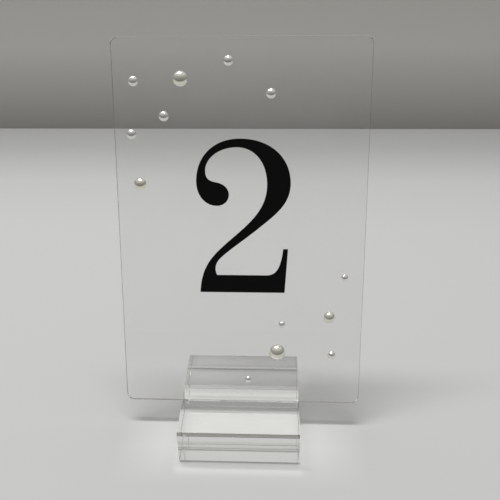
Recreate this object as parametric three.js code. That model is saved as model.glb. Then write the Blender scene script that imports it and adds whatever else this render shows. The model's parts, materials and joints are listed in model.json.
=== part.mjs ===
// Table number holder: a clear acrylic sign stands in a slanted slot across a clear acrylic block.
// The sign carries a black vinyl numeral and thirteen flat-back pearls, each on a dot of clear glue.
// Millimetres, +Z up, the sign's face looks towards -Y. Origin: centre of the block's bottom face.

import * as THREE from 'three';

// Base block, cut from a bar whose long edges are chamfered; the bar runs along X. The real block is one solid.
// Here it is two parts that meet along the line of the slot's rear wall, so that each is a simple shape.
const BLOCK_WIDTH = 50;
const BLOCK_DEPTH = 48;
const BLOCK_HEIGHT = 17;
const BLOCK_CHAMFER = 1;
const TOP_FRONT_CHAMFER_DEPTH = 0.9;
const TOP_FRONT_CHAMFER_HEIGHT = 1.3;
const BLOCK_END_EDGE = 0.2;

// Slot across the block. It leans back, and its depth is measured along the slope.
const LEAN = THREE.MathUtils.degToRad(19.5);
const SLOT_LIP_Y = 1.2;
const SLOT_WIDTH = 2.6;
const SLOT_DEPTH = 12.5;

// Sign panel, a 4 x 6 inch sheet.
const PANEL_WIDTH = 101.6;
const PANEL_HEIGHT = 152.4;
const PANEL_THICKNESS = 2;
const PANEL_CORNER_RADIUS = 3;
const PANEL_EDGE = 0.2;
const PANEL_OFFSET_X = 0.4;
const PANEL_INSERTION = 5.9;

// Vinyl numeral. Its outline starts at its own lower left corner, placed here on the panel.
const NUMERAL_LEFT = -18.3;
const NUMERAL_BASE = 50;
const NUMERAL_THICKNESS = 0.1;

// Flat-back pearls and their glue dots.
const PEARL_HEIGHT_RATIO = 0.45;
const PEARL_RIM_RATIO = 0.08;
const PEARL_DOME_STEPS = 5;
const PEARL_SEGMENTS = 20;
const GLUE_DIAMETER_RATIO = 0.7;
const GLUE_THICKNESS = 0.15;
const GLUE_SEGMENTS = 16;
const CONTACT_GAP = 0.05;

// Pearl centres on the panel: u from its middle, v up from its bottom edge.
const SILVER_WHITE = 0xe9e7e1;
const CREAM_WHITE = 0xe6e0cd;
const UPPER_PEARLS = [
  { u: -42.2, v: 135.8, diameter: 4, colour: SILVER_WHITE },
  { u: -23.7, v: 136.7, diameter: 6, colour: CREAM_WHITE },
  { u: -30.6, v: 122.4, diameter: 4, colour: SILVER_WHITE },
  { u: -4.9, v: 143.4, diameter: 4, colour: SILVER_WHITE },
  { u: 11.7, v: 131.1, diameter: 4, colour: SILVER_WHITE },
  { u: -43.7, v: 115.4, diameter: 4, colour: SILVER_WHITE },
  { u: -41.0, v: 95.5, diameter: 5, colour: CREAM_WHITE },
];
const LOWER_PEARLS = [
  { u: 42.8, v: 56.9, diameter: 3, colour: SILVER_WHITE },
  { u: 36.9, v: 39.5, diameter: 5, colour: CREAM_WHITE },
  { u: 17.0, v: 36.1, diameter: 3, colour: SILVER_WHITE },
  { u: 15.2, v: 23.5, diameter: 7, colour: CREAM_WHITE },
  { u: 38.4, v: 22.6, diameter: 3.5, colour: SILVER_WHITE },
  { u: 2.7, v: 10.8, diameter: 3, colour: SILVER_WHITE },
];

const CLEAR_ACRYLIC = new THREE.MeshStandardMaterial({ color: 0xeef2f0, roughness: 0.05, metalness: 0 });
const BLACK_VINYL = new THREE.MeshStandardMaterial({ color: 0x0c0c0d, roughness: 0.45, metalness: 0 });
const CLEAR_GLUE = new THREE.MeshStandardMaterial({ color: 0xe8e9e4, roughness: 0.2, metalness: 0 });

function namedMesh(name, geometry, material) {
  const mesh = new THREE.Mesh(geometry, material);
  mesh.name = name;
  return mesh;
}

// Extrudes an outline from z = 0 to z = thickness, with its edges broken by a small bevel.
function extrudeWithEdge(outline, thickness, edge, curveSegments) {
  const geometry = new THREE.ExtrudeGeometry(outline, {
    depth: thickness - 2 * edge,
    bevelEnabled: edge > 0,
    bevelThickness: edge,
    bevelSize: edge,
    bevelOffset: -edge,
    bevelSegments: 1,
    curveSegments,
  });
  geometry.translate(0, 0, edge);
  return geometry;
}

// Corners of the slot in the block's section, where x is depth and y is height. Its walls follow the lean, and its
// floor is square to them. The seam is where the rear wall's line, carried on down, meets the block's bottom.
function slotCorners() {
  const frontLip = new THREE.Vector2(SLOT_LIP_Y, BLOCK_HEIGHT);
  const frontFloor = new THREE.Vector2(
    frontLip.x - SLOT_DEPTH * Math.sin(LEAN),
    frontLip.y - SLOT_DEPTH * Math.cos(LEAN),
  );
  const rearFloor = new THREE.Vector2(
    frontFloor.x + SLOT_WIDTH * Math.cos(LEAN),
    frontFloor.y - SLOT_WIDTH * Math.sin(LEAN),
  );
  const rearLip = new THREE.Vector2(SLOT_LIP_Y + SLOT_WIDTH / Math.cos(LEAN), BLOCK_HEIGHT);
  const seam = new THREE.Vector2(rearFloor.x - rearFloor.y * Math.tan(LEAN), 0);
  return { frontLip, frontFloor, rearFloor, rearLip, seam };
}

// In front of the slot's rear wall: the front of the block and what lies under the slot.
function frontSection() {
  const { frontLip, frontFloor, rearFloor, seam } = slotCorners();
  const front = -BLOCK_DEPTH / 2;
  const c = BLOCK_CHAMFER;
  const seamGap = CONTACT_GAP / Math.cos(LEAN);
  const section = new THREE.Shape();
  section.moveTo(front + c, 0);
  section.lineTo(seam.x - seamGap, 0);
  section.lineTo(rearFloor.x - seamGap, rearFloor.y);
  section.lineTo(frontFloor.x, frontFloor.y);
  section.lineTo(frontLip.x, frontLip.y);
  section.lineTo(front + TOP_FRONT_CHAMFER_DEPTH, BLOCK_HEIGHT);
  section.lineTo(front, BLOCK_HEIGHT - TOP_FRONT_CHAMFER_HEIGHT);
  section.lineTo(front, c);
  section.closePath();
  return section;
}

// Behind the line of the slot's rear wall, from the bottom to the top.
function rearSection() {
  const { rearLip, seam } = slotCorners();
  const rear = BLOCK_DEPTH / 2;
  const c = BLOCK_CHAMFER;
  const section = new THREE.Shape();
  section.moveTo(seam.x, 0);
  section.lineTo(rear - c, 0);
  section.lineTo(rear, c);
  section.lineTo(rear, BLOCK_HEIGHT - c);
  section.lineTo(rear - c, BLOCK_HEIGHT);
  section.lineTo(rearLip.x, BLOCK_HEIGHT);
  section.closePath();
  return section;
}

function makeBlockPart(name, section) {
  const geometry = extrudeWithEdge(section, BLOCK_WIDTH, BLOCK_END_EDGE, 1);
  // Section x, y and length z become the block's Y, Z and X.
  geometry.rotateX(Math.PI / 2);
  geometry.rotateZ(Math.PI / 2);
  geometry.translate(-BLOCK_WIDTH / 2, 0, 0);
  return namedMesh(name, geometry, CLEAR_ACRYLIC);
}

// A rectangle with round corners, centred on x = 0 and standing on y = 0.
function panelOutline() {
  const half = PANEL_WIDTH / 2;
  const h = PANEL_HEIGHT;
  const r = PANEL_CORNER_RADIUS;
  const outline = new THREE.Shape();
  outline.moveTo(r - half, 0);
  outline.lineTo(half - r, 0);
  outline.absarc(half - r, r, r, -Math.PI / 2, 0);
  outline.lineTo(half, h - r);
  outline.absarc(half - r, h - r, r, 0, Math.PI / 2);
  outline.lineTo(r - half, h);
  outline.absarc(r - half, h - r, r, Math.PI / 2, Math.PI);
  outline.lineTo(-half, r);
  outline.absarc(r - half, r, r, Math.PI, 1.5 * Math.PI);
  return outline;
}

// The panel's front face lies on local y = 0 and its back on y = PANEL_THICKNESS.
function makePanel() {
  const geometry = extrudeWithEdge(panelOutline(), PANEL_THICKNESS, PANEL_EDGE, 6);
  geometry.rotateX(Math.PI / 2);
  geometry.translate(0, PANEL_THICKNESS, 0);
  return namedMesh('sign_panel', geometry, CLEAR_ACRYLIC);
}

// A two with a ball terminal, a heavy right shoulder, a flat foot and an upright serif.
function numeralOutline() {
  const outline = new THREE.Shape();
  outline.moveTo(0.9, 0);
  // Inner edge of the diagonal and of the bowl
  outline.bezierCurveTo(1.4, 8.5, 4, 13.5, 9.8, 19);
  outline.bezierCurveTo(18.5, 27.3, 28.7, 33.5, 28.7, 45.3);
  outline.bezierCurveTo(28.7, 54.5, 23.5, 60.3, 16.5, 60.3);
  outline.bezierCurveTo(9.5, 60.3, 3.7, 56, 3.7, 50.8);
  // Ball terminal
  outline.bezierCurveTo(3.7, 47.5, 5.5, 46.7, 8.3, 46.2);
  outline.bezierCurveTo(11.3, 45.6, 13.2, 43.8, 13.2, 41.2);
  outline.bezierCurveTo(13.2, 38.6, 11, 36.7, 8.3, 36.7);
  outline.bezierCurveTo(3.3, 36.7, 0, 41, 0, 46.5);
  // Outer edge of the bowl and of the diagonal
  outline.bezierCurveTo(0, 56.5, 7, 63.7, 17.8, 63.7);
  outline.bezierCurveTo(30, 63.7, 38.2, 56.3, 38.2, 45.8);
  outline.bezierCurveTo(38.2, 37.5, 32, 33, 25.4, 27.5);
  outline.bezierCurveTo(20, 23, 13.5, 18.6, 9.8, 15);
  outline.bezierCurveTo(7.3, 12.8, 6.8, 9.8, 8.1, 7.5);
  // Foot and serif
  outline.lineTo(28.5, 7.5);
  outline.bezierCurveTo(33, 7.5, 34.6, 11, 35.5, 18.8);
  outline.lineTo(37.5, 18.8);
  outline.lineTo(36.3, 0);
  outline.closePath();
  return outline;
}

// The numeral is stuck on the panel's front face, so it lies just in front of local y = 0.
function makeNumeral() {
  const geometry = extrudeWithEdge(numeralOutline(), NUMERAL_THICKNESS, 0, 6);
  geometry.rotateX(Math.PI / 2);
  geometry.translate(NUMERAL_LEFT, -CONTACT_GAP, NUMERAL_BASE);
  return namedMesh('numeral_two', geometry, BLACK_VINYL);
}

// Half section of a pearl, from the middle of its flat back, round the rim and over the dome.
function pearlProfile(radius, height) {
  const rim = PEARL_RIM_RATIO * radius;
  const profile = [new THREE.Vector2(0, 0), new THREE.Vector2(radius - rim, 0)];
  for (let step = 0; step < PEARL_DOME_STEPS; step += 1) {
    const angle = (step / PEARL_DOME_STEPS) * (Math.PI / 2);
    profile.push(new THREE.Vector2(radius * Math.cos(angle), rim + (height - rim) * Math.sin(angle)));
  }
  profile.push(new THREE.Vector2(0, height));
  return profile;
}

function makePearl(name, pearl) {
  const radius = pearl.diameter / 2;
  const profile = pearlProfile(radius, PEARL_HEIGHT_RATIO * pearl.diameter);
  const geometry = new THREE.LatheGeometry(profile, PEARL_SEGMENTS);
  // The dome points out of the panel's face.
  geometry.rotateX(Math.PI);
  const material = new THREE.MeshStandardMaterial({ color: pearl.colour, roughness: 0.2, metalness: 0.1 });
  const mesh = namedMesh(name, geometry, material);
  mesh.position.set(pearl.u, -(2 * CONTACT_GAP + GLUE_THICKNESS), pearl.v);
  return mesh;
}

function makeGlueDot(name, pearl) {
  const radius = (GLUE_DIAMETER_RATIO * pearl.diameter) / 2;
  const geometry = new THREE.CylinderGeometry(radius, radius, GLUE_THICKNESS, GLUE_SEGMENTS);
  const mesh = namedMesh(name, geometry, CLEAR_GLUE);
  mesh.position.set(pearl.u, -(CONTACT_GAP + GLUE_THICKNESS / 2), pearl.v);
  return mesh;
}

function addPearls(group, label, pearls) {
  pearls.forEach((pearl, index) => {
    const suffix = `${label}_${index + 1}`;
    group.add(makeGlueDot(`glue_dot_${suffix}`, pearl));
    group.add(makePearl(`pearl_${suffix}`, pearl));
  });
}

// The sign's group has its origin at the middle of the panel's lower front edge.
function makeSign() {
  const sign = new THREE.Group();
  const wallClearance = (SLOT_WIDTH - PANEL_THICKNESS) / 2;
  const faceY = SLOT_LIP_Y + wallClearance / Math.cos(LEAN);
  sign.position.set(
    PANEL_OFFSET_X,
    faceY - PANEL_INSERTION * Math.sin(LEAN),
    BLOCK_HEIGHT - PANEL_INSERTION * Math.cos(LEAN),
  );
  sign.rotation.x = -LEAN;
  sign.add(makePanel(), makeNumeral());
  addPearls(sign, 'upper', UPPER_PEARLS);
  addPearls(sign, 'lower', LOWER_PEARLS);
  return sign;
}

const holder = new THREE.Group();
holder.add(
  makeBlockPart('base_block_front', frontSection()),
  makeBlockPart('base_block_rear', rearSection()),
  makeSign(),
);

export default holder;
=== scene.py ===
# Table number holder: a clear acrylic sign leans back in a slanted slot across a clear acrylic block.
# Metres, +Z up. The sign's face looks towards -Y.

import json
import math

import bpy
import numpy as np
from mathutils import Matrix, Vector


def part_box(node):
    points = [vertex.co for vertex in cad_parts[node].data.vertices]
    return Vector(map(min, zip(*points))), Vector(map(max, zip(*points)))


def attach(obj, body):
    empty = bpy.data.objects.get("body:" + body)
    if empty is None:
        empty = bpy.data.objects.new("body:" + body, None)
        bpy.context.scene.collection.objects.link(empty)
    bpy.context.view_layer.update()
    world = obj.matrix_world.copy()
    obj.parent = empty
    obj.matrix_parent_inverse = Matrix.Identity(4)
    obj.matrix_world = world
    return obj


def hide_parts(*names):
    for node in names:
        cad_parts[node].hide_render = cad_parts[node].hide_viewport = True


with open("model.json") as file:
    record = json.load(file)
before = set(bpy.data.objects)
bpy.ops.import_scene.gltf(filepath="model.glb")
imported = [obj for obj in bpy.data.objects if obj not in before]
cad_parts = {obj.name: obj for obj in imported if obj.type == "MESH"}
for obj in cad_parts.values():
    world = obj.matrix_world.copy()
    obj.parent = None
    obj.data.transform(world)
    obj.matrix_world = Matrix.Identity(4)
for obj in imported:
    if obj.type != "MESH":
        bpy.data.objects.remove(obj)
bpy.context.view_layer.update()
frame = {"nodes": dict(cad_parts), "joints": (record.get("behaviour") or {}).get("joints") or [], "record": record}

MILLIMETRES_PER_METRE = 1000

# Directions of the sign's face. It slides in the slot along SIGN_UP.
RIGHT = np.array([1.0, 0.0, 0.0])
SIGN_UP = np.array(frame["joints"][0]["axis"]) / np.linalg.norm(frame["joints"][0]["axis"])
SIGN_OUT = np.cross(RIGHT, SIGN_UP)
LEAN = math.asin(SIGN_UP[1])

# Base block, a length of chamfered bar with one slanted saw cut.
BLOCK_CHAMFER = 0.001
TOP_FRONT_CHAMFER_DEPTH = 0.0009
TOP_FRONT_CHAMFER_HEIGHT = 0.0013
BLOCK_END_EDGE = 0.0002
SLOT_LIP_Y = 0.0012
SLOT_WIDTH = 0.0026
SLOT_DEPTH = 0.0125
POLISHED_EDGE = 0.00012
SLOT_LIP_EDGE = 0.00006
SLOT_FLOOR_FILLET = 0.0005
BLOCK_CORNER_STEPS = 6

# Sign panel, laser cut from sheet.
PANEL_CORNER_RADIUS = 0.003
PANEL_EDGE = 0.00015
PANEL_CORNER_STEPS = 28
PANEL_EDGE_STEPS = 5

# Vinyl numeral.
VINYL_THICKNESS = 0.0001
CURVE_STEPS = 28

# Gap between pieces that are stuck together.
CONTACT_GAP = 0.00001

# Flat-back pearls on dots of clear glue.
PEARL_RIM_RATIO = 0.08
PEARL_RIM_STEPS = 5
PEARL_DOME_STEPS = 26
PEARL_SEGMENTS = 64
# The dome stops this angle short of its top, where a small flat cap closes it.
PEARL_CROWN = 0.01
PEARL_METALLIC = 0.92
GLUE_RADIUS_RATIO = 0.7
GLUE_WAIST = 0.12
GLUE_SWELL = 0.05
GLUE_STEPS = 7

# Clear materials. They mirror more towards edge on, by EDGE_ON_POWER.
ACRYLIC_IOR = 1.49
GLUE_IOR = 1.45
EDGE_ON_POWER = 5.0

# Shares of the light that keep their way through the block's lower chamfers and the panel's lower edge. The
# chamfers' share holds in full from CHAMFER_SHADE_DEPTH in from the face and up to CHAMFER_SHADE_HEIGHT,
# both in chamfer sizes.
CHAMFER_LIGHT_SHARE = 0.3
CHAMFER_SHADE_DEPTH = 0.8
CHAMFER_SHADE_HEIGHT = 0.9
PANEL_EDGE_LIGHT_SHARE = 0.2


# ---- Shapes --------------------------------------------------------------------------------------

def unit(vectors):
    """Each vector divided by its own length."""
    return vectors / np.linalg.norm(vectors, axis=-1, keepdims=True)


def inset_corners(corners, distance):
    """The corners of a counter-clockwise outline, moved inwards so that each side moves by the distance.

    With n and m the outward normals of a corner's two sides, it moves by -distance (n + m) / (1 + n.m).
    """
    along = unit(np.roll(corners, -1, axis=0) - corners)
    normal_after = np.stack([along[:, 1], -along[:, 0]], axis=1)
    normal_before = np.roll(normal_after, 1, axis=0)
    meeting = 1 + np.sum(normal_before * normal_after, axis=1, keepdims=True)
    return corners - distance * (normal_before + normal_after) / meeting


def rounded_outline(corners, radius, steps):
    """The outline with an arc at each corner, of that corner's radius.

    With a and b the directions from the arc's centre to its ends, phi the angle between them and s running
    from 0 to 1, a point is centre + radius (a sin((1 - s) phi) + b sin(s phi)) / sin(phi).
    """
    radius = np.broadcast_to(radius, len(corners))[:, None]
    to_last = unit(np.roll(corners, 1, axis=0) - corners)
    to_next = unit(np.roll(corners, -1, axis=0) - corners)
    half_angle = np.arccos(np.sum(to_last * to_next, axis=1, keepdims=True)) / 2
    reach = radius / np.tan(half_angle)
    centre = corners + unit(to_last + to_next) * radius / np.sin(half_angle)
    first = (corners + to_last * reach - centre)[:, None]
    last = (corners + to_next * reach - centre)[:, None]
    turn = (math.pi - 2 * half_angle)[:, None]
    share = np.linspace(0, 1, steps)[None, :, None]
    swept = (np.sin((1 - share) * turn) * first + np.sin(share * turn) * last) / np.sin(turn)
    return (centre[:, None] + swept).reshape(-1, 2)


def edge_rounding(radius, steps):
    """Pairs of inset and height that round an edge.

    They are (r (1 - sin a), r (1 - cos a)) for a from 0 to 90 degrees.
    """
    angle = np.linspace(0, math.pi / 2, steps)
    return np.stack([radius * (1 - np.sin(angle)), radius * (1 - np.cos(angle))], axis=1)


def lofted_solid(rings):
    """Vertices and faces of the closed solid through a stack of closed rings, with a flat cap at both ends.

    The rings run counter-clockwise as seen from the stack's far end, so that all faces point outwards.
    """
    count = rings.shape[1]
    here = np.arange(count)
    beside = np.roll(here, -1)
    start = np.arange(rings.shape[0] - 1)[:, None] * count
    quads = np.stack([start + here, start + beside, start + count + beside, start + count + here], axis=-1)
    far_cap = here + (rings.shape[0] - 1) * count
    faces = quads.reshape(-1, 4).tolist() + [here[::-1].tolist(), far_cap.tolist()]
    return rings.reshape(-1, 3), faces


def add_piece(name, points, faces, material, smooth=False):
    """A new mesh with one material, shaded flat or smooth."""
    mesh = bpy.data.meshes.new(name)
    mesh.from_pydata(points.tolist(), [], faces)
    mesh.polygons.foreach_set("use_smooth", np.full(len(mesh.polygons), smooth))
    mesh.materials.append(material)
    mesh.update()
    piece = bpy.data.objects.new(name, mesh)
    bpy.context.scene.collection.objects.link(piece)
    return piece


def add_to_object(piece, body, nodes):
    """The piece moves with the body and stands for the nodes, which are hidden."""
    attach(piece, body)
    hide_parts(*nodes)


# ---- Places on the sign --------------------------------------------------------------------------

def sign_coordinates(node, origin):
    """A node's vertices as (across, up, out) of the sign's face, from the origin."""
    mesh = frame["nodes"][node].data
    points = np.zeros(len(mesh.vertices) * 3)
    mesh.vertices.foreach_get("co", points)
    return (points.reshape(-1, 3) - origin) @ np.stack([RIGHT, SIGN_UP, SIGN_OUT], axis=1)


def sign_origin():
    """The middle of the panel's lower front edge."""
    reach = sign_coordinates("sign_panel", np.zeros(3))
    across = (reach[:, 0].min() + reach[:, 0].max()) / 2
    return across * RIGHT + reach[:, 1].min() * SIGN_UP + reach[:, 2].max() * SIGN_OUT


SIGN_ORIGIN = sign_origin()


def on_sign(across, up, out):
    """World points from arrays of places across, up and out of the sign's face."""
    steps = np.stack(np.broadcast_arrays(across, up, out), axis=-1)
    return SIGN_ORIGIN + steps @ np.stack([RIGHT, SIGN_UP, SIGN_OUT])


# ---- Pieces --------------------------------------------------------------------------------------

BLOCK_NODES = ("base_block_front", "base_block_rear")


def block_box():
    """The lowest and highest corner of the whole block, which the frame holds as two parts."""
    corners = np.array([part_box(node) for node in BLOCK_NODES])
    return corners[:, 0].min(axis=0), corners[:, 1].max(axis=0)


def block_corners():
    """The block's section as (y, z) corners, counter-clockwise from the bottom front, and each one's radius.

    The slot's walls run down along the sign's slope, and its floor is square to them.
    """
    low, high = block_box()
    (front, bottom), (rear, top) = low[1:], high[1:]
    slope = np.array([math.sin(LEAN), math.cos(LEAN)])
    square_to_slope = np.array([slope[1], -slope[0]])
    front_lip = np.array([SLOT_LIP_Y, top])
    front_floor = front_lip - SLOT_DEPTH * slope
    rear_floor = front_floor + SLOT_WIDTH * square_to_slope
    rear_lip = front_lip + np.array([SLOT_WIDTH / math.cos(LEAN), 0])
    before_slot = [
        (front + BLOCK_CHAMFER, bottom), (rear - BLOCK_CHAMFER, bottom), (rear, bottom + BLOCK_CHAMFER),
        (rear, top - BLOCK_CHAMFER), (rear - BLOCK_CHAMFER, top)]
    slot = [rear_lip, rear_floor, front_floor, front_lip]
    slot_radii = [SLOT_LIP_EDGE, SLOT_FLOOR_FILLET, SLOT_FLOOR_FILLET, SLOT_LIP_EDGE]
    after_slot = [
        (front + TOP_FRONT_CHAMFER_DEPTH, top), (front, top - TOP_FRONT_CHAMFER_HEIGHT),
        (front, bottom + BLOCK_CHAMFER)]
    radii = [POLISHED_EDGE] * len(before_slot) + slot_radii + [POLISHED_EDGE] * len(after_slot)
    return np.array([*before_slot, *slot, *after_slot]), np.array(radii)


def make_block(material):
    """The section carried along X, drawn in a little at both ends to break their edges."""
    low, high = block_box()
    corners, radii = block_corners()
    rounding = edge_rounding(BLOCK_END_EDGE, BLOCK_CORNER_STEPS)
    stations = [(low[0] + rise, inset) for inset, rise in rounding]
    stations += [(high[0] - rise, inset) for inset, rise in rounding[::-1]]
    rings = []
    for x, inset in stations:
        section = rounded_outline(inset_corners(corners, inset), radii, BLOCK_CORNER_STEPS)
        rings.append(np.column_stack([np.full(len(section), x), section]))
    block = add_piece("clear_block", *lofted_solid(np.array(rings)), material)
    add_to_object(block, "base", BLOCK_NODES)


def make_panel(material):
    """The outline carried from the panel's back to its front, drawn in a little at both faces."""
    reach = sign_coordinates("sign_panel", SIGN_ORIGIN)
    half, height = reach[:, 0].max(), reach[:, 1].max()
    back = reach[:, 2].min()
    corners = np.array([(-half, 0), (half, 0), (half, height), (-half, height)])
    rounding = edge_rounding(PANEL_EDGE, PANEL_EDGE_STEPS)
    layers = [(back + rise, inset) for inset, rise in rounding]
    layers += [(-rise, inset) for inset, rise in rounding[::-1]]
    rings = []
    for out, inset in layers:
        radius = PANEL_CORNER_RADIUS - inset
        outline = rounded_outline(inset_corners(corners, inset), radius, PANEL_CORNER_STEPS)
        rings.append(on_sign(outline[:, 0], outline[:, 1], out))
    panel = add_piece("clear_panel", *lofted_solid(np.array(rings)), material)
    add_to_object(panel, "sign", ["sign_panel"])


def numeral_curves():
    """The two's outline as cubic curves, each with two handles and an end.

    They are in millimetres from the outline's lower left, and each starts where the one before it ends.
    """
    return [
        # Inner edge of the diagonal and of the bowl
        [(1.4, 8.5), (4, 13.5), (9.8, 19)],
        [(18.5, 27.3), (28.7, 33.5), (28.7, 45.3)],
        [(28.7, 54.5), (23.5, 60.3), (16.5, 60.3)],
        [(9.5, 60.3), (3.7, 56), (3.7, 50.8)],
        # Ball terminal
        [(3.7, 47.5), (5.5, 46.7), (8.3, 46.2)],
        [(11.3, 45.6), (13.2, 43.8), (13.2, 41.2)],
        [(13.2, 38.6), (11, 36.7), (8.3, 36.7)],
        [(3.3, 36.7), (0, 41), (0, 46.5)],
        # Outer edge of the bowl and of the diagonal
        [(0, 56.5), (7, 63.7), (17.8, 63.7)],
        [(30, 63.7), (38.2, 56.3), (38.2, 45.8)],
        [(38.2, 37.5), (32, 33), (25.4, 27.5)],
        [(20, 23), (13.5, 18.6), (9.8, 15)],
        [(7.3, 12.8), (6.8, 9.8), (8.1, 7.5)],
        # Foot and serif
        [(14.9, 7.5), (21.7, 7.5), (28.5, 7.5)],
        [(33, 7.5), (34.6, 11), (35.5, 18.8)],
        [(36.2, 18.8), (36.8, 18.8), (37.5, 18.8)],
        [(37.1, 12.5), (36.7, 6.3), (36.3, 0)],
        [(24.5, 0), (12.7, 0), (0.9, 0)],
    ]


def numeral_outline():
    """Points along the curves: (1-s)^3 start + 3 (1-s)^2 s handle + 3 (1-s) s^2 handle + s^3 end."""
    curves = np.array(numeral_curves())
    start = np.roll(curves[:, 2], 1, axis=0)[:, None]
    first, second, end = (curves[:, i][:, None] for i in range(3))
    s = np.linspace(0, 1, CURVE_STEPS, endpoint=False)[None, :, None]
    points = (1 - s) ** 3 * start + 3 * (1 - s) ** 2 * s * first + 3 * (1 - s) * s**2 * second + s**3 * end
    # The curves run clockwise, and a ring runs the other way.
    return points.reshape(-1, 2)[::-1] / MILLIMETRES_PER_METRE


def make_numeral(material):
    """The outline carried through the vinyl's thickness, on the panel's front."""
    reach = sign_coordinates("numeral_two", SIGN_ORIGIN)
    outline = numeral_outline() + reach[:, :2].min(axis=0)
    faces_out = (CONTACT_GAP, CONTACT_GAP + VINYL_THICKNESS)
    rings = [on_sign(outline[:, 0], outline[:, 1], out) for out in faces_out]
    numeral = add_piece("vinyl_two", *lofted_solid(np.array(rings)), material)
    add_to_object(numeral, "sign", ["numeral_two"])


def pearl_profile(radius, height):
    """Half section of a flat-back pearl as (distance from its axis, height): a round rim, then the dome.

    The dome is an ellipse: radius cos(a), rim + (height - rim) sin(a).
    """
    rim = PEARL_RIM_RATIO * radius
    turn = np.linspace(-math.pi / 2, 0, PEARL_RIM_STEPS, endpoint=False)
    rim_part = np.stack([radius - rim + rim * np.cos(turn), rim + rim * np.sin(turn)], axis=1)
    lift = np.linspace(0, math.pi / 2 - PEARL_CROWN, PEARL_DOME_STEPS)
    dome = np.stack([radius * np.cos(lift), rim + (height - rim) * np.sin(lift)], axis=1)
    return np.concatenate([rim_part, dome])


def turned(profile, centre, lift, swell=0.0):
    """The rings of a profile turned about an axis square to the sign's face.

    A ring's points are centre + r (cos t, sin t) across and up, and lift + height out. The radius is made
    uneven by the factor 1 + swell (sin(2 t + q) + sin(3 t + 2 q) / 2), where q is the centre's place across
    in millimetres.
    """
    angle = np.arange(PEARL_SEGMENTS) * 2 * math.pi / PEARL_SEGMENTS
    phase = centre[0] * MILLIMETRES_PER_METRE
    uneven = 1 + swell * (np.sin(2 * angle + phase) + np.sin(3 * angle + 2 * phase) / 2)
    radius = profile[:, :1] * uneven
    across = centre[0] + radius * np.cos(angle)
    up = centre[1] + radius * np.sin(angle)
    return on_sign(across, up, lift + profile[:, 1:])


def make_pearl(node, finish):
    """A smooth flat-back pearl in its node's place.

    It gives back the pearl's centre, its radius and how far out its back is, which place the glue under it.
    """
    reach = sign_coordinates(node, SIGN_ORIGIN)
    centre = (reach[:, :2].min(axis=0) + reach[:, :2].max(axis=0)) / 2
    radius = (reach[:, 0].max() - reach[:, 0].min()) / 2
    back, front = reach[:, 2].min(), reach[:, 2].max()
    rings = turned(pearl_profile(radius, front - back), centre, back)
    pearl = add_piece(node.replace("pearl", "domed_pearl"), *lofted_solid(rings), finish, smooth=True)
    add_to_object(pearl, "sign", [node])
    return centre, radius, back


def glue_profile(radius, thickness):
    """Half section of a glue dot, drawn in at its waist: radius (1 - waist sin(pi s)), thickness s."""
    share = np.linspace(0, 1, GLUE_STEPS)
    return np.stack([radius * (1 - GLUE_WAIST * np.sin(math.pi * share)), thickness * share], axis=1)


def make_glue_dot(node, centre, pearl_radius, pearl_back, material):
    """A dot of glue that fills the way from the panel's front to a pearl's back."""
    profile = glue_profile(GLUE_RADIUS_RATIO * pearl_radius, pearl_back - 2 * CONTACT_GAP)
    rings = turned(profile, centre, CONTACT_GAP, swell=GLUE_SWELL)
    dot = add_piece(node.replace("dot", "film"), *lofted_solid(rings), material)
    add_to_object(dot, "sign", [node])


# ---- Finishes ------------------------------------------------------------------------------------

def new_finish(name):
    """An empty material, and its node tree."""
    material = bpy.data.materials.new(name)
    material.use_nodes = True
    material.node_tree.nodes.clear()
    return material, material.node_tree


def add_node(tree, kind, inputs=None, **settings):
    """A shader node. An input given as a socket is linked, and any other is set on the node itself."""
    made = tree.nodes.new("ShaderNode" + kind)
    for setting, value in settings.items():
        setattr(made, setting, value)
    for socket, value in (inputs or {}).items():
        if isinstance(value, bpy.types.NodeSocket):
            tree.links.new(value, made.inputs[socket])
        else:
            made.inputs[socket].default_value = value
    return made


def pattern(tree, scale, detail=3.0, stretch=(1, 1, 1)):
    """Cloudy noise fixed to the piece, from 0 to 1. The scale is in cycles per metre."""
    place = add_node(tree, "TexCoord").outputs["Object"]
    stretched = add_node(tree, "Mapping", {"Vector": place, "Scale": stretch})
    noise = add_node(tree, "TexNoise", {"Vector": stretched.outputs[0], "Scale": scale, "Detail": detail})
    return noise.outputs["Fac"]


def remap(tree, value, from_low, from_high, to_low, to_high):
    """The value taken from one range into another, and held at the ends."""
    return add_node(tree, "MapRange", {
        "Value": value, "From Min": from_low, "From Max": from_high,
        "To Min": to_low, "To Max": to_high}).outputs["Result"]


def bump(tree, height, strength, distance):
    """Fine relief from a pattern. The distance is in metres."""
    return add_node(tree, "Bump", {"Height": height, "Strength": strength, "Distance": distance}).outputs[0]


def finish_surface(tree, shader):
    """The shader becomes the material's surface."""
    output = add_node(tree, "OutputMaterial")
    tree.links.new(shader, output.inputs["Surface"])


def lets_light_through(tree, clear, share=1.0):
    """The clear shader as it is seen, while light on its way to a matt surface passes straight through.

    The part that passes is share (1 - f^power), where f is 0 head on and 1 edge on.
    """
    facing = add_node(tree, "LayerWeight", {"Blend": 0.5}).outputs["Facing"]
    edge_on = add_node(tree, "Math", {0: facing, 1: EDGE_ON_POWER}, operation="POWER").outputs[0]
    passed = remap(tree, edge_on, 0, 1, share, 0)
    open_for_light = add_node(tree, "BsdfTransparent", {"Color": passed}).outputs[0]
    ray = add_node(tree, "LightPath").outputs
    for kind in ("Is Diffuse Ray", "Is Shadow Ray"):
        clear = add_node(tree, "MixShader", {0: ray[kind], 1: clear, 2: open_for_light}).outputs[0]
    return clear


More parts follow.
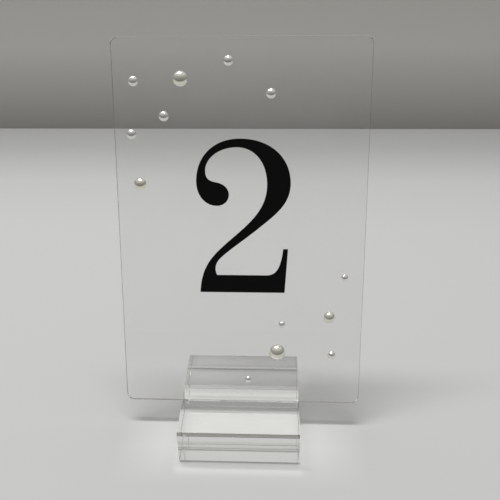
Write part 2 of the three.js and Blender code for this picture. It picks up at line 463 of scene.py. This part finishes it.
def light_past_lower_chamfers(tree):
    """The share of light that keeps its way through the block. Its lower chamfers bend most of it aside."""
    place = add_node(tree, "TexCoord").outputs["Object"]
    split = add_node(tree, "SeparateXYZ", {0: place}).outputs
    from_middle = add_node(tree, "Math", {0: split["Y"]}, operation="ABSOLUTE").outputs[0]
    face = block_box()[1][1]
    full_shade = face - CHAMFER_SHADE_DEPTH * BLOCK_CHAMFER
    outside = remap(tree, from_middle, face - BLOCK_CHAMFER, full_shade, 0, 1)
    below = remap(tree, split["Z"], CHAMFER_SHADE_HEIGHT * BLOCK_CHAMFER, BLOCK_CHAMFER, 1, 0)
    chamfer = add_node(tree, "Math", {0: outside, 1: below}, operation="MULTIPLY").outputs[0]
    return remap(tree, chamfer, 0, 1, 1, CHAMFER_LIGHT_SHARE)


def light_past_lower_edge(tree):
    """The share of light that keeps its way through the panel. Its lower edge bends most of it aside."""
    place = add_node(tree, "TexCoord").outputs["Object"]
    height = add_node(tree, "SeparateXYZ", {0: place}).outputs["Z"]
    edge = SIGN_ORIGIN[2]
    return remap(tree, height, edge, edge + PANEL_EDGE, PANEL_EDGE_LIGHT_SHARE, 1)


def clear_block_finish():
    """Polished cast acrylic: faint polishing waves and a few soft smears."""
    material, tree = new_finish("clear cast acrylic block")
    waves = pattern(tree, scale=90, detail=2.0, stretch=(0.35, 1, 1))
    smears = remap(tree, pattern(tree, scale=160, detail=4.0), 0.55, 0.8, 0.0, 0.05)
    glass = add_node(tree, "BsdfGlass", {
        "Color": (0.99, 0.99, 0.985, 1), "IOR": ACRYLIC_IOR, "Roughness": smears,
        "Normal": bump(tree, waves, strength=0.04, distance=0.0004)})
    finish_surface(tree, lets_light_through(tree, glass.outputs[0], light_past_lower_chamfers(tree)))
    return material


def clear_panel_finish():
    """Cast acrylic sheet, with a thin haze of handling smudges on it."""
    material, tree = new_finish("clear cast acrylic sheet")
    glass = add_node(tree, "BsdfGlass", {
        "Color": (0.995, 0.995, 0.995, 1), "IOR": ACRYLIC_IOR, "Roughness": 0.0})
    clear = lets_light_through(tree, glass.outputs[0], light_past_lower_edge(tree))
    smudges = remap(tree, pattern(tree, scale=38, detail=5.0), 0.45, 0.75, 0.004, 0.03)
    haze = add_node(tree, "BsdfDiffuse", {"Color": (0.9, 0.9, 0.9, 1)})
    mixed = add_node(tree, "MixShader", {0: smudges, 1: clear, 2: haze.outputs[0]})
    finish_surface(tree, mixed.outputs[0])
    return material


def vinyl_finish():
    """Black satin vinyl film with a fine grain."""
    material, tree = new_finish("black vinyl")
    grain = pattern(tree, scale=4000, detail=2.0)
    uneven = remap(tree, pattern(tree, scale=120), 0.3, 0.7, 0.38, 0.5)
    vinyl = add_node(tree, "BsdfPrincipled", {
        "Base Color": (0.003, 0.003, 0.0034, 1), "Roughness": uneven, "Specular IOR Level": 0.12,
        "Normal": bump(tree, grain, strength=0.15, distance=0.00002)})
    finish_surface(tree, vinyl.outputs[0])
    return material


def pearl_finish(name, body_colour, rim_colour):
    """Pearl lacquer over plastic, a little paler towards the rim and faintly mottled, under a clear coat."""
    material, tree = new_finish(name)
    facing = add_node(tree, "LayerWeight", {"Blend": 0.45}).outputs["Facing"]
    tone = add_node(tree, "ValToRGB", {"Fac": facing})
    tone.color_ramp.elements[0].color = (*body_colour, 1)
    tone.color_ramp.elements[1].color = (*rim_colour, 1)
    mottle = remap(tree, pattern(tree, scale=900), 0.3, 0.7, 0.08, 0.14)
    ripples = pattern(tree, scale=1500, detail=2.0)
    pearl = add_node(tree, "BsdfPrincipled", {
        "Base Color": tone.outputs[0], "Metallic": PEARL_METALLIC, "Roughness": mottle,
        "Coat Weight": 0.5, "Coat Roughness": 0.04, "Coat IOR": 1.5,
        "Normal": bump(tree, ripples, strength=0.06, distance=0.00003)})
    finish_surface(tree, pearl.outputs[0])
    return material


def glue_finish():
    """Dried clear glue, a little cloudy."""
    material, tree = new_finish("clear gem glue")
    cloud = remap(tree, pattern(tree, scale=1200), 0.3, 0.7, 0.1, 0.3)
    glass = add_node(tree, "BsdfGlass", {"Color": (0.95, 0.95, 0.92, 1), "IOR": GLUE_IOR, "Roughness": cloud})
    finish_surface(tree, lets_light_through(tree, glass.outputs[0]))
    return material


# ---- Stage ---------------------------------------------------------------------------------------

# The cloth lies just under the block, and a low wall stands behind it.
FLOOR_GAP = 0.0001
FLOOR_HALF_WIDTH = 2.0
FLOOR_FRONT = -1.5
BACKDROP_Y = 0.35
BACKDROP_TOP = 0.125
BACKDROP_FOOT = -0.2
# Tones up the backdrop, from 0 at the height of the floor to 1 at BACKDROP_TOP, with painted shade at the foot and
# a band of painted shade at the top.
BACKDROP_TONES_AND_PAINTED_SHADE = ((0.0, 0.38), (0.6, 0.66), (0.91, 0.62), (0.94, 0.2))
BACKDROP_TINT = (1.03, 1.0, 0.95)

# Tones along the cloth, from 0 at CLOTH_NEAR to 1 at CLOTH_FAR. They are even in the middle, with painted shade
# towards the near end and a little painted shade at the far end.
CLOTH_NEAR = -0.5
CLOTH_FAR = 0.36
CLOTH_TONE_AND_PAINTED_SHADE = ((0.0, 0.2), (0.35, 0.59), (0.78, 0.59), (0.86, 0.56), (0.94, 0.43), (1.0, 0.4))
CLOTH_TINT = (1.0, 1.0, 0.98)
# Painted light: lighter areas of the cloth, standing in for light that the sign mirrors down and that the block
# gathers, each as (centre, half size, softness) and its gain.
CLOTH_PAINTED_LIGHT_AREAS = (
    (((0.0, -0.012), (0.034, 0.004), 0.02), 1.22),
    (((0.0, -0.016), (0.025, 0.012), 0.003), 1.15),
    (((0.0, 0.021), (0.024, 0.002), 0.008), 1.22),
)

CAMERA_PLACE = np.array([0.0132, -0.18902, 0.21174])
CAMERA_PITCH = math.radians(32.713)
CAMERA_YAW = math.radians(-2.522)
CAMERA_ROLL = math.radians(0.862)
CAMERA_LENS = 43.77
SENSOR_WIDTH = 36.0

CEILING_DIRECTION = (-0.05, 0.26, 0.965)
# Room brightness by closeness to CEILING_DIRECTION: 0 away from it, 0.5 square to it and 1 towards it.
ROOM_TONES = ((0.3, 0.12), (0.43, 0.21), (0.56, 0.26), (0.68, 0.31), (0.79, 0.46), (0.86, 0.6))

LAMP_PLACE = np.array([-0.2, 0.22, 1.3])
LAMP_LENGTH = 0.8
LAMP_WIDTH = 0.1
LAMP_POWER = 9.5


def grey_ramp(tree, value, stops):
    """Grey levels by value, each stop a (value, level) pair."""
    ramp = add_node(tree, "ValToRGB", {"Fac": value})
    elements = ramp.color_ramp.elements
    elements[0].position, elements[1].position = stops[0][0], stops[-1][0]
    for position, _ in stops[1:-1]:
        elements.new(position)
    for element, (_, level) in zip(elements, stops):
        element.color = (level, level, level, 1)
    return ramp.outputs[0]


def soft_box(tree, place, centre, half_size, softness):
    """1 inside a rectangle on the floor, falling to 0 over the softness outside it."""
    split = add_node(tree, "SeparateXYZ", {0: place}).outputs
    inside = 1.0
    for axis, middle, half in zip("XY", centre, half_size):
        offset = add_node(tree, "Math", {0: split[axis], 1: middle}, operation="SUBTRACT").outputs[0]
        distance = add_node(tree, "Math", {0: offset}, operation="ABSOLUTE").outputs[0]
        share = remap(tree, distance, half, half + softness, 1, 0)
        inside = add_node(tree, "Math", {0: share, 1: inside}, operation="MULTIPLY").outputs[0]
    return inside


def cloth_finish():
    """Matt off-white cloth, with painted shade in front of the view and less of it at its far end.

    Its lighter areas are painted light, standing in for light that the sign mirrors down and that the block
    gathers.
    """
    material, tree = new_finish("pale cloth")
    place = add_node(tree, "TexCoord").outputs["Object"]
    depth = add_node(tree, "SeparateXYZ", {0: place}).outputs["Y"]
    shade = grey_ramp(tree, remap(tree, depth, CLOTH_NEAR, CLOTH_FAR, 0, 1), CLOTH_TONE_AND_PAINTED_SHADE)
    # Painted light: each area lifts the cloth's tone by its gain.
    for area, gain in CLOTH_PAINTED_LIGHT_AREAS:
        painted_glow = remap(tree, soft_box(tree, place, *area), 0, 1, 1, gain)
        shade = add_node(tree, "VectorMath", {0: shade, 1: painted_glow}, operation="MULTIPLY").outputs[0]
    shade = add_node(tree, "VectorMath", {0: shade, 1: CLOTH_TINT}, operation="MULTIPLY").outputs[0]
    cloth = add_node(tree, "BsdfPrincipled", {
        "Base Color": shade, "Roughness": 0.9, "Specular IOR Level": 0.1})
    finish_surface(tree, cloth.outputs[0])
    return material


def backdrop_finish():
    """Plain warm grey wall, with painted shade along its foot and a band of painted shade along its top."""
    material, tree = new_finish("grey backdrop")
    place = add_node(tree, "TexCoord").outputs["Object"]
    height = add_node(tree, "SeparateXYZ", {0: place}).outputs["Z"]
    shade = grey_ramp(tree, remap(tree, height, 0.0, BACKDROP_TOP, 0, 1), BACKDROP_TONES_AND_PAINTED_SHADE)
    warm = add_node(tree, "VectorMath", {0: shade, 1: BACKDROP_TINT}, operation="MULTIPLY")
    wall = add_node(tree, "BsdfDiffuse", {"Color": warm.outputs[0]})
    finish_surface(tree, wall.outputs[0])
    return material


def make_stage():
    """A flat cloth and an upright backdrop along its far side."""
    half = FLOOR_HALF_WIDTH
    floor_points = np.array([
        (-half, FLOOR_FRONT, -FLOOR_GAP), (half, FLOOR_FRONT, -FLOOR_GAP),
        (half, BACKDROP_Y, -FLOOR_GAP), (-half, BACKDROP_Y, -FLOOR_GAP)])
    wall_points = np.array([
        (-half, BACKDROP_Y, BACKDROP_FOOT), (half, BACKDROP_Y, BACKDROP_FOOT),
        (half, BACKDROP_Y, BACKDROP_TOP), (-half, BACKDROP_Y, BACKDROP_TOP)])
    add_piece("floor", floor_points, [[0, 1, 2, 3]], cloth_finish())
    add_piece("backdrop", wall_points, [[0, 1, 2, 3]], backdrop_finish())


def make_room():
    """Room light by direction: brightest overhead and a little behind, and dim towards the floor."""
    world = bpy.data.worlds.new("room")
    world.use_nodes = True
    tree = world.node_tree
    tree.nodes.clear()
    direction = add_node(tree, "TexCoord").outputs["Generated"]
    cosine = add_node(tree, "VectorMath", {0: direction, 1: CEILING_DIRECTION}, operation="DOT_PRODUCT")
    closeness = remap(tree, cosine.outputs["Value"], -1, 1, 0, 1)
    level = grey_ramp(tree, closeness, ROOM_TONES)
    background = add_node(tree, "Background", {"Color": level, "Strength": 1.0})
    output = add_node(tree, "OutputWorld")
    tree.links.new(background.outputs[0], output.inputs["Surface"])
    bpy.context.scene.world = world


def make_lamp():
    """One soft lamp overhead, a little behind and to the left, aimed at the block. Its length is along X."""
    light = bpy.data.lights.new("overhead_lamp", "AREA")
    light.shape = "RECTANGLE"
    light.size = LAMP_LENGTH
    light.size_y = LAMP_WIDTH
    light.energy = LAMP_POWER
    lamp = bpy.data.objects.new("overhead_lamp", light)
    away = unit(LAMP_PLACE)
    side = unit(np.cross([0.0, 1.0, 0.0], away))
    turn = np.eye(4)
    turn[:3, 0] = side
    turn[:3, 1] = np.cross(away, side)
    turn[:3, 2] = away
    turn[:3, 3] = LAMP_PLACE
    lamp.matrix_world = Matrix(turn.tolist())
    bpy.context.scene.collection.objects.link(lamp)


def make_camera():
    """The camera looks down by the pitch and aside by the yaw, and turns about its own axis by the roll."""
    ahead = np.array([
        math.sin(CAMERA_YAW) * math.cos(CAMERA_PITCH),
        math.cos(CAMERA_YAW) * math.cos(CAMERA_PITCH),
        -math.sin(CAMERA_PITCH)])
    level = np.array([math.cos(CAMERA_YAW), -math.sin(CAMERA_YAW), 0.0])
    down = np.cross(ahead, level)
    place = np.eye(4)
    place[:3, 0] = math.cos(CAMERA_ROLL) * level + math.sin(CAMERA_ROLL) * down
    place[:3, 1] = math.sin(CAMERA_ROLL) * level - math.cos(CAMERA_ROLL) * down
    place[:3, 2] = -ahead
    place[:3, 3] = CAMERA_PLACE
    data = bpy.data.cameras.new("camera")
    data.sensor_width = SENSOR_WIDTH
    data.lens = CAMERA_LENS
    data.clip_start = 0.01
    camera = bpy.data.objects.new("camera", data)
    camera.matrix_world = Matrix(place.tolist())
    bpy.context.scene.collection.objects.link(camera)
    bpy.context.scene.camera = camera


def set_light_paths():
    """Enough bounces for light caught in the clear block, no focused light, and plain tones."""
    scene = bpy.context.scene
    scene.view_settings.view_transform = "Standard"
    scene.cycles.max_bounces = 24
    scene.cycles.transmission_bounces = 20
    scene.cycles.glossy_bounces = 12
    scene.cycles.transparent_max_bounces = 32
    scene.cycles.caustics_reflective = False
    scene.cycles.caustics_refractive = False


# ---- Assembly ------------------------------------------------------------------------------------

make_camera()
make_stage()
make_room()
make_lamp()
set_light_paths()

make_block(clear_block_finish())
make_panel(clear_panel_finish())
make_numeral(vinyl_finish())

PEARL_FINISHES = {
    "pearl_silver_white": pearl_finish("silver white pearl", (0.90, 0.89, 0.85), (0.93, 0.92, 0.89)),
    "pearl_cream_white": pearl_finish("cream white pearl", (0.88, 0.865, 0.75), (0.92, 0.91, 0.85)),
}
GLUE = glue_finish()
for part in frame["record"]["subparts"]:
    node, slot = part["node"], part["material_slot"]
    if slot in PEARL_FINISHES:
        place_and_size = make_pearl(node, PEARL_FINISHES[slot])
        make_glue_dot(node.replace("pearl", "glue_dot"), *place_and_size, GLUE)
